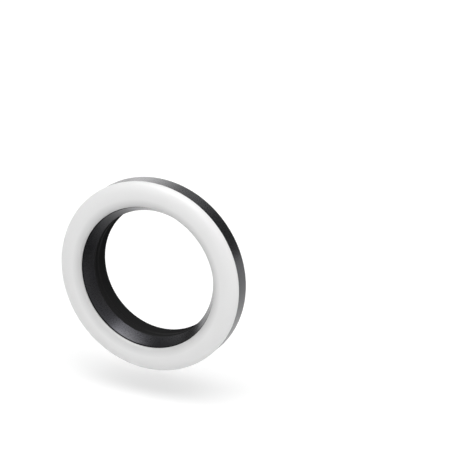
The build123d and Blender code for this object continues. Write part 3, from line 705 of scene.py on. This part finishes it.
walls = 0.7
block = in_rim(
    "socket_block", [(39.42, 0), (40.5, 0), (40.6, -0.1)],
    socket_width - walls, socket_height - walls, socket_angle, curved=False,
)
settle(coated(block, nylon), "light", "black_moulding", "usb_socket_tongue")
tongue_levels = [(40.4, 0), (45.2, 0), (45.45, -0.12), (45.5, -0.22)]
tongue_width, tongue_height, tongue_corner = 6.69, 0.7, 0.3
tongue = in_rim(
    "socket_tongue", tongue_levels, tongue_width, tongue_height, socket_angle, tongue_corner,
    curved=False,
)
settle(coated(tongue, nylon), "light", "black_moulding")

# The contacts are one strip set out in two rows of twelve, half a millimetre apart.
contact_count, contact_pitch, row_gap, contact_start = 12, 0.5, 0.72, 41.7
rows, given = new_tree(
    "contacts_in_two_rows",
    {"Count": "Int", "Pitch": "Float", "Gap": "Float", "Material": "Material"},
)
last = add(rows, "ShaderNodeMath", {0: given["Count"], 1: 1.0}, operation="SUBTRACT")
width = add(rows, "ShaderNodeMath", {0: last, 1: given["Pitch"]}, operation="MULTIPLY")
grid = add(
    rows, "GeometryNodeMeshGrid",
    {"Size X": width, "Size Y": given["Gap"], "Vertices X": given["Count"], "Vertices Y": 2},
)
strips = add(
    rows, "GeometryNodeInstanceOnPoints", {"Points": grid, "Instance": given["Geometry"]}
)
close_tree(rows, given, strips)
half_width, half_thickness = 0.13, 0.035
contact = loft("socket_contacts", [
    [(x * (half_width - inset) * mm, y * (half_thickness - inset / 2) * mm, z * mm)
     for x, y in ((1, 1), (-1, 1), (-1, -1), (1, -1))]
    for z, inset in ((0, 0), (3.4, 0), (3.5, 0.04))
])
contact.data.materials.append(gold)
contacts = through(rows, contact, {
    "Count": contact_count, "Pitch": contact_pitch * mm, "Gap": row_gap * mm, "Material": gold,
})
away = Vector((cos(radians(socket_angle)), 0, sin(radians(socket_angle))))
beside = Vector((-away.z, 0, away.x))
for point in contacts.data.vertices:
    along, across, out = point.co
    stands = away * (out + contact_start * mm) + beside * along
    point.co = stands + Vector((0, y_at(button_depth) - across, 0))
settle(tidied(contacts), "light", "gold_plate")

# LEVEL LIGHTS. Four small LEDs on the board shine through clear acrylic pins in the rim, each
# pushed in from inside up to its collar. Their outer ends are polished level with the rim.
acrylic, skin = surface(
    "polished_clear_acrylic", "#e9eef0", 0.12, IOR=1.49, Transmission_Weight=0.85
)
shades(skin, speckle(skin, 0.6), "#e2e8ea", "#f0f4f5")
pin_levels = [
    (42.0, 0.62), (42.05, 0.7), (44.6, 0.7), (44.6, 0.98), (45.18, 0.98), (45.2, 0.7),
    (46.6, 0.7), (46.72, 0.66), (46.76, 0.5),
]
pin_steps = 20
pin_angles = [(step + 0.5) * tau / pin_steps for step in range(pin_steps)]
pin = loft("level_pins", [
    [(radius * mm, y_at(button_depth) + width * cos(angle) * mm, width * sin(angle) * mm)
     for angle in pin_angles]
    for radius, width in pin_levels
])
level_pins = set_out(pin, acrylic, len(level_angles), level_angles[0], level_step)
settle(level_pins, "light", "clear_acrylic", "level_light_pipes")

# BATTERY. Four lithium pouch cells in heat-sealed aluminium laminate, on foam pads, with nickel
# tabs, small protection boards, and one amber polyimide flex that joins them to the board. The
# laminate lies in soft creases, the foam shows its cells and the flex its copper lanes.
laminate, skin = surface("aluminium_pouch_laminate", "#b9bbbf", 0.36, Metallic=1.0)
creases = speckle(skin, 3.5, 4.0)
shades(skin, creases, "#a8aaae", "#c8cacd")
relief(skin, creases, 0.15)
dress(laminate, *[f"battery_cell_{number}" for number in range(1, 5)])

foam, skin = surface("closed_cell_foam", "#505054", 0.9)
cells = add(skin.tree, "ShaderNodeTexVoronoi", {"Vector": skin.place, "Scale": 1 / (0.35 * mm)})
shades(skin, cells, "#3c3c40", "#5e5e62", 0.1, 0.7)
relief(skin, cells, 0.08)
dress(foam, "cell_pads")

nickel_strip, skin = surface("rolled_nickel_strip", "#b5ada0", 0.3, Metallic=1.0)
shades(skin, speckle(skin, 0.6, 3.0), "#a79f92", "#c2baad")
dress(nickel_strip, "cell_tabs")

polyimide, skin = surface("amber_polyimide_film", "#a5601e", 0.24, IOR=1.7)
lanes = turning_marks(skin, 1.0)
shades(skin, lanes, "#8a4a14", "#b46f2a", 0.3, 0.6)
dress(polyimide, "battery_flex")

# LED BOARD. Aluminium-cored ring under a glossy white mask, bonded to the web with thermal tape
# so that the whole housing carries its heat away. A matt white film between the chips throws
# stray light forward, and the grey tape has a woven look.
white_mask, skin = surface("white_solder_mask", "#ecebe6", 0.3, IOR=1.5)
shades(skin, speckle(skin, 1.2), "#e6e5e0", "#f2f1ec")
dress(white_mask, "led_board")

film, skin = surface("microfoamed_white_film", "#f1f1ee", 0.75)
pores = speckle(skin, 0.2, 3.0)
shades(skin, pores, "#ebebe8", "#f6f6f3")
relief(skin, pores, 0.01)
dress(film, "reflector_sheet")

tape, skin = surface("grey_adhesive_tape", "#b9b9b4", 0.6)
threads = speckle(skin, 0.4, 4.0)
shades(skin, threads, "#aeaea9", "#c6c6c1")
relief(skin, threads, 0.01)
dress(tape, "thermal_tape", "keeper_tape")

# LEDS. Warm and cool chips take turns round the board, so their mix sets the white. Each is a
# white moulded cup filled with phosphor in clear silicone, orange on the warm chips and lemon
# yellow on the cool ones.
cup, skin = surface("white_led_cup", "#efeee8", 0.4, IOR=1.55)
shades(skin, speckle(skin, 0.3), "#e8e7e1", "#f5f4ee")
cup_length, cup_width, cup_corner, cup_opening = 3.5, 2.8, 0.15, 1.1
led_circle, led_count, led_front, led_back = 39.565, 29, 3.8, 4.5
phosphors = {"warm": ("#e0922e", "#cf7f22", "#eaa548"), "cool": ("#e6d65a", "#d9c847", "#efe178")}
for order, (tone, (colour, dark, pale)) in enumerate(phosphors.items()):
    phosphor, skin = surface(
        f"{tone}_phosphor_in_silicone", colour, 0.2, IOR=1.41,
        Subsurface_Weight=0.2, Subsurface_Scale=0.3 * mm,
    )
    shades(skin, speckle(skin, 0.15, 3.0), dark, pale)
    body_loops = []
    for depth, inset in ((led_back, 0), (led_front + 0.05, 0), (led_front, 0.05)):
        length, width = cup_length - 2 * inset, cup_width - 2 * inset
        loop = rounded_loop(length, width, 0, cup_corner, 3, 3)
        body_loops.append([((led_circle + out) * mm, y_at(depth), side * mm) for out, side in loop])
    for opening, depth in ((cup_opening, led_front), (cup_opening - 0.12, led_front + 0.12)):
        body_loops.append(disc(opening, depth, led_circle, len(loop)))
    first = order * 180 / led_count
    cups = set_out(loft(f"{tone}_led_cups", body_loops), cup, led_count, first)
    settle(cups, "light", f"{tone}_led_package", f"{tone}_leds")
    fill_levels = [
        (cup_opening - 0.11, led_front + 0.14), (cup_opening - 0.05, led_front + 0.06),
        (cup_opening - 0.35, led_front + 0.04),
    ]
    fill = discs(f"{tone}_led_phosphor", led_circle, fill_levels)
    settle(set_out(fill, phosphor, led_count, first), "light", f"{tone}_led_package")
dress(cup, "level_leds")

# DIFFUSER. Opal polycarbonate, moulded with a crowned section: it rises steeply from the
# opening, is highest a little inside its middle and falls away to the rim. Two tongues behind
# it are glued to the cone and the rim. The tool's satin texture leaves a soft, broad sheen. Its
# colour is painted grey towards the opening: painted shade along the inner edge.
opal, skin = surface(
    "satin_opal_polycarbonate", "#e4e4e4", 0.56, IOR=1.585,
    Subsurface_Weight=0.35, Subsurface_Radius=(1.0, 1.0, 1.0), Subsurface_Scale=1.6 * mm,
    Specular_IOR_Level=0.35,
)
tree = skin.tree
across = add(tree, "ShaderNodeVectorMath", {0: skin.place, 1: (1, 0, 1)}, operation="MULTIPLY")
radius = add(tree, "ShaderNodeVectorMath", {0: across}, operation="LENGTH").outputs["Value"]
# Painted shade: the colour greys from 39.5 mm in to the opening at 35 mm from the axis.
painted_edge_shade = add(
    tree, "ShaderNodeMapRange", {"Value": radius, "From Min": 35 * mm, "From Max": 39.5 * mm}
)
flow = speckle(skin, 18, 3.0)
milk_and_edge_shade = add(tree, "ShaderNodeMath", {0: flow, 1: 0.08, 2: painted_edge_shade}, operation="MULTIPLY_ADD")
shades(skin, milk_and_edge_shade, "#c6c6c6", "#e4e4e4", 0.02, 1.0)
texture = speckle(skin, 0.25)
gloss(skin, texture, 0.52, 0.6)
relief(skin, texture, 0.0025)

opening_radius, crown_radius, diffuser_radius = 35.05, 40.2, 47.0
inner_depth, outer_depth, wall = 2.0, 4.1, 1.4


def quarter(reach, rise, edge_depth, steps):
    """Points of a quarter ellipse from the crown to an edge, that far out and that far back."""
    turns = [pi / 2 * step / steps for step in range(steps + 1)]
    return [(crown_radius + reach * sin(turn), edge_depth - rise * cos(turn), 0) for turn in turns]


crown_steps = 28
inner_reach, outer_reach = opening_radius - crown_radius, diffuser_radius - crown_radius
inner_back, outer_back, back_steps = inner_depth - wall, outer_depth - wall, crown_steps // 2
front_inner = quarter(inner_reach, inner_depth, inner_depth, crown_steps)
front_outer = quarter(outer_reach, outer_depth, outer_depth, crown_steps)
back_inner = quarter(opening_radius + wall - crown_radius, inner_back, inner_depth, back_steps)
back_outer = quarter(diffuser_radius - wall - crown_radius, outer_back, outer_depth, back_steps)
outer_tongue, inner_tongue, tongue = 45.25, 36.4, 0.8
outer_root, outer_end, inner_root, inner_end = 2.434, 5.35, 1.64, 3.0
behind_outer = [point for point in back_outer if point[0] < outer_tongue - tongue]
behind_inner = [point for point in back_inner if point[0] > inner_tongue + tongue]
diffuser_outline = eased(
    [(opening_radius, inner_depth, 0.15)] + front_inner[-2:0:-1] + front_outer[:-1]
    + [
        (diffuser_radius, outer_depth, 0.35), (45.6, outer_depth, 0), (45.45, 3.5, 0),
        (outer_tongue, 3.14, 0), (outer_tongue, outer_end, 0.1),
        (outer_tongue - tongue, outer_end, 0.1), (outer_tongue - tongue, outer_root, 0),
    ]
    + behind_outer[::-1] + behind_inner[1:]
    + [
        (inner_tongue + tongue, inner_root, 0), (inner_tongue + tongue, inner_end, 0.1),
        (inner_tongue, inner_end, 0.1), (inner_tongue, inner_depth, 0),
    ],
    0.1, steps=4,
)
diffuser = turned("diffuser_shell", diffuser_outline, opal)
settle(diffuser, "light", "opal_polycarbonate", "diffuser")

# REAR COVER. Turned aluminium plate on the housing's ledges, blasted and anodised with it. A
# shallow recess takes the steel keeper ring, and six screws stand level in their countersinks.
cover_inner, cover_outer = 32.45, 45.75
recess_inner, recess_outer, recess_floor = 32.975, 38.075, 11.3
cover_outline = eased(
    [
        (cover_inner, ledge_depth), (cover_outer, ledge_depth), (cover_outer, light_back, 0.15),
        (recess_outer, light_back, 0.15), (recess_outer, recess_floor, 0),
        (recess_inner, recess_floor, 0), (recess_inner, light_back), (cover_inner, light_back),
    ],
    0.1,
)
cover = turned("cover_plate", cover_outline, anodised)
sink_levels = [
    (2.0, light_back + 0.4), (1.57, light_back), (0.92, light_back - 0.72), (0.92, 10.5),
]
countersink = discs("countersinks", boss_circle, sink_levels)
cut(cover, set_out(countersink, anodised, screw_count, first_screw))
settle(cover, "light", "black_anodised_aluminium", "rear_cover")

# KEEPER RING. Steel washer, faced on the lathe and glued into the cover's recess with tape: the
# magnets pull on it. Its bright rings catch the light like a record's.
faced_steel, skin = surface("faced_steel", "#b5b3af", 0.3, Metallic=1.0)
rings = turning_marks(skin, 0.35)
shades(skin, rings, "#a3a19d", "#c2c0bc", 0.2, 0.8)
gloss(skin, rings, 0.22, 0.38)
relief(skin, rings, 0.008)
keeper_outline = washer(33.025, 38.025, 11.4, 11.9, 0.1)
keeper = turned("keeper_washer", keeper_outline, faced_steel)
settle(keeper, "light", "keeper_steel", "keeper_ring")

# COVER SCREWS. Six black steel screws, countersunk flush, with a hexagon socket.
socket_steps = 24


def hexagon(radius, depth):
    """Hexagon with as many points as the screw's circles."""
    made = []
    for step in range(socket_steps):
        angle = (step + 0.5) * tau / socket_steps
        reach = radius * cos(pi / 6) / cos((angle % (pi / 3)) - pi / 6)
        made.append(((boss_circle + reach * cos(angle)) * mm, y_at(depth), reach * sin(angle) * mm))
    return made


screw_top = light_back - 0.05
thread_core, thread_crest, thread_turns, first_turn, screw_pitch = 0.66, 0.8, 6, 8.95, 0.4
screw_levels = [(0.5, 8.6), (thread_core, 8.75)]
for turn in range(thread_turns):
    ridge_depth = first_turn + turn * screw_pitch
    screw_levels += [(thread_core, ridge_depth), (thread_crest, ridge_depth + screw_pitch / 2)]
screw_levels += [
    (thread_crest, screw_top - 0.72), (1.38, screw_top - 0.1), (1.44, screw_top - 0.05),
    (1.38, screw_top), (0.72, screw_top),
]
screw_loops = [disc(radius, depth, boss_circle) for radius, depth in screw_levels]
screw_loops += [
    hexagon(0.6, screw_top - 0.04), hexagon(0.57, screw_top - 0.1),
    hexagon(0.57, screw_top - 0.6), disc(0.1, screw_top - 0.75, boss_circle),
]
screws = set_out(loft("cover_screws", screw_loops), black_steel, screw_count, first_screw)
settle(screws, "light", "black_screw_steel", "rear_cover_screws")

# BUTTON CAPS. Three moulded caps in the rim's slots: power, dimmer and brighter. A flange
# inside the rim keeps each in, its face follows the rim, and its mark is sunk and filled with
# pale paint. The plastic has a fine, dull grain.
cap_plastic, skin = surface("spark_eroded_black_abs", "#202022", 0.5, IOR=1.54)
grain = speckle(skin, 0.25, 3.0)
shades(skin, grain, "#1c1c1e", "#262628")
relief(skin, grain, 0.006)
paint, skin = surface("pale_filling_paint", "#c9c9c7", 0.55)
shades(skin, speckle(skin, 0.3), "#bfbfbd", "#d2d2d0")

cap_levels = [
    (44.45, 0.3), (44.55, 0.4), (45.15, 0.4), (45.25, 0.34), (45.25, 0), (47.02, 0),
    (47.15, -0.04), (47.25, -0.14), (47.29, -0.28), (47.3, -0.45),
]
mark_size, mark_stroke, mark_floor, mark_top = 1.6, 0.34, 47.15, 47.6


def bar(length, height, angle, middle=0.0):
    """Cutter for one straight stroke of a mark, along the rim or across it."""
    loop = rounded_loop(max(length, height), min(length, height), 0, None, 4, 2)
    if height > length:
        loop = [(-across, along) for along, across in loop]
    loop = [(along, across + middle) for along, across in loop]
    ends = (mark_floor, mark_top)
    return loft("mark", [on_rim(loop, angle, button_depth, radius) for radius in ends])


def open_ring(angle):
    """Cutter for the power mark's ring, open towards the front."""
    outer, inner = (mark_size + mark_stroke) / 2, (mark_size - mark_stroke) / 2
    first, sweep, steps, loops = 130, 280, 28, []
    for step in range(steps + 1):
        turn = radians(first + sweep * step / steps)
        corners = [(radius * cos(turn), radius * sin(turn)) for radius in (outer, inner)]
        low = on_rim(corners, angle, button_depth, mark_floor)
        high = on_rim(corners, angle, button_depth, mark_top)
        loops.append([low[0], low[1], high[1], high[0]])
    return loft("mark", loops)


for name, angle in button_angles.items():
    blank = in_rim(f"{name}_cap", cap_levels, cap_length, cap_height, angle)
    cap = coated(blank, cap_plastic)
    if name == "power":
        strokes = [open_ring(angle), bar(mark_stroke, 1.0, angle, 0.6)]
    else:
        strokes = [bar(mark_size, mark_stroke, angle)]
    if name == "plus":
        strokes.append(bar(mark_stroke, mark_size, angle))
    for stroke in strokes:
        cut(cap, coated(stroke, paint))
    settle(cap, f"{name}_key", "button_plastic", f"{name}_button")

# FLOOR. Plain white sheet below the ring. It shows white from afar and keeps a soft shadow. In
# reflections it glows pale, with a painted shadow close below the ring.
floor_height, floor_half = -0.062, 3.0
corners = ((-1, -1), (1, -1), (1, 1), (-1, 1))
floor = placed_mesh(
    "floor", [(x * floor_half, y * floor_half, floor_height) for x, y in corners],
    [], [(0, 1, 2, 3)],
)
white_floor = bpy.data.materials.new("white_paper")
white_floor.use_nodes = True
tree = white_floor.node_tree
tree.nodes.clear()


def seen_rays(tree):
    """Whether a ray is seen directly, and whether it comes off gloss or through something clear."""
    rays = add(tree, "ShaderNodeLightPath").outputs
    either = {0: rays["Is Glossy Ray"], 1: rays["Is Transmission Ray"]}
    return rays["Is Camera Ray"], add(tree, "ShaderNodeMath", either, operation="MAXIMUM")


camera_ray, mirrored_ray = seen_rays(tree)
place = add(tree, "ShaderNodeTexCoord").outputs["Object"]
length = add(tree, "ShaderNodeVectorMath", {0: place}, operation="LENGTH")
distance = length.outputs["Value"]
paleness = add(
    tree, "ShaderNodeMapRange",
    {"Value": distance, "From Min": 0.2, "From Max": 0.9, "To Min": 0.26, "To Max": 0.4},
)
faint = add(tree, "ShaderNodeMath", {0: camera_ray, 1: paleness}, operation="MULTIPLY")
# Painted shadow in reflections: the floor's glow in gloss is dark close below the ring and pale
# further out.
gloss_glow_with_painted_shadow = add(tree, "ShaderNodeValToRGB", {"Fac": distance})
ramp = gloss_glow_with_painted_shadow.color_ramp
ramp.interpolation = "EASE"
ramp.elements[0].position, ramp.elements[1].position = 0.064, 0.9
for reach in (0.11, 0.2):
    ramp.elements.new(reach)
for stop, grey in zip(ramp.elements, (0.12, 0.5, 0.5, 0.95)):
    stop.color = (grey, grey, grey, 1)
lift = add(
    tree, "ShaderNodeMath", {0: mirrored_ray, 1: gloss_glow_with_painted_shadow, 2: faint}, operation="MULTIPLY_ADD"
)
paper = add(tree, "ShaderNodeBsdfDiffuse", {"Color": linear("#f0f0f0")})
glow = add(tree, "ShaderNodeEmission", {"Strength": lift})
both = add(tree, "ShaderNodeAddShader", {0: paper, 1: glow})
add(tree, "ShaderNodeOutputMaterial", {"Surface": both})
floor.data.materials.append(white_floor)

# ROOM. Pale, even light from all round, white where it is seen. In gloss two dark cards stand
# behind the ring, one on each side: they draw the soft dark band on the rim.
world = bpy.data.worlds.new("pale_room")
bpy.context.scene.world = world
world.use_nodes = True
world.cycles.sampling_method = "NONE"
tree = world.node_tree
tree.nodes.clear()
camera_ray, mirrored_ray = seen_rays(tree)
seen = add(tree, "ShaderNodeMath", {0: camera_ray, 1: mirrored_ray}, operation="MAXIMUM")
room_level = add(tree, "ShaderNodeMapRange", {"Value": seen, "To Min": 0.72, "To Max": 1.0})
outwards = add(tree, "ShaderNodeTexCoord").outputs["Generated"]
for direction, darkness in (((0.50, 0.85, 0.13), 0.75), ((-0.86, 0.50, -0.05), 0.85)):
    nearness = add(
        tree, "ShaderNodeVectorMath", {0: outwards, 1: Vector(direction).normalized()},
        operation="DOT_PRODUCT",
    ).outputs["Value"]
    card = add(
        tree, "ShaderNodeMapRange",
        {"Value": nearness, "From Min": 0.8, "From Max": 0.97, "To Max": -darkness},
        interpolation_type="SMOOTHSTEP",
    )
    dimming = add(
        tree, "ShaderNodeMath", {0: card, 1: mirrored_ray, 2: 1.0}, operation="MULTIPLY_ADD"
    )
    room_level = add(tree, "ShaderNodeMath", {0: room_level, 1: dimming}, operation="MULTIPLY")
room = add(
    tree, "ShaderNodeBackground", {"Color": linear("#ffffff"), "Strength": room_level}
)
add(tree, "ShaderNodeOutputWorld", {"Surface": room})


def softbox(name, place, size, power, only_gloss=False):
    """Square lamp that faces the ring and isn't seen itself, or shows in gloss alone."""
    light = bpy.data.lights.new(name, "AREA")
    light.shape = "SQUARE"
    light.size = size
    light.energy = power
    lamp = bpy.data.objects.new(name, light)
    lamp.location = place
    lamp.rotation_euler = (-Vector(place)).to_track_quat("-Z", "Y").to_euler()
    lamp.visible_camera = False
    lamp.visible_diffuse = not only_gloss
    collection.objects.link(lamp)


softbox("key_softbox", (0.9, -0.75, 1.0), 0.7, 2.6)
softbox("top_softbox", (0.13, -0.32, 0.95), 0.8, 3.5)
softbox("top_card", (0.05, -0.4, 0.98), 0.8, 25.0, True)
softbox("back_card", (-0.6, 1.15, 0.4), 0.6, 1.75, True)

# VIEW. Long focal length, a little to the right of the ring's axis and above it.
view_fall, view_turn = 18.985, 25.579
camera_data = bpy.data.cameras.new("camera")
camera_data.lens = 191.97
camera_data.sensor_width = 36
camera = bpy.data.objects.new("camera", camera_data)
camera.location = (0.49202, -0.95628, 0.39205)
camera.rotation_euler = (radians(90 - view_fall), 0, radians(view_turn))
collection.objects.link(camera)
bpy.context.scene.camera = camera
bpy.context.scene.view_settings.view_transform = "Standard"
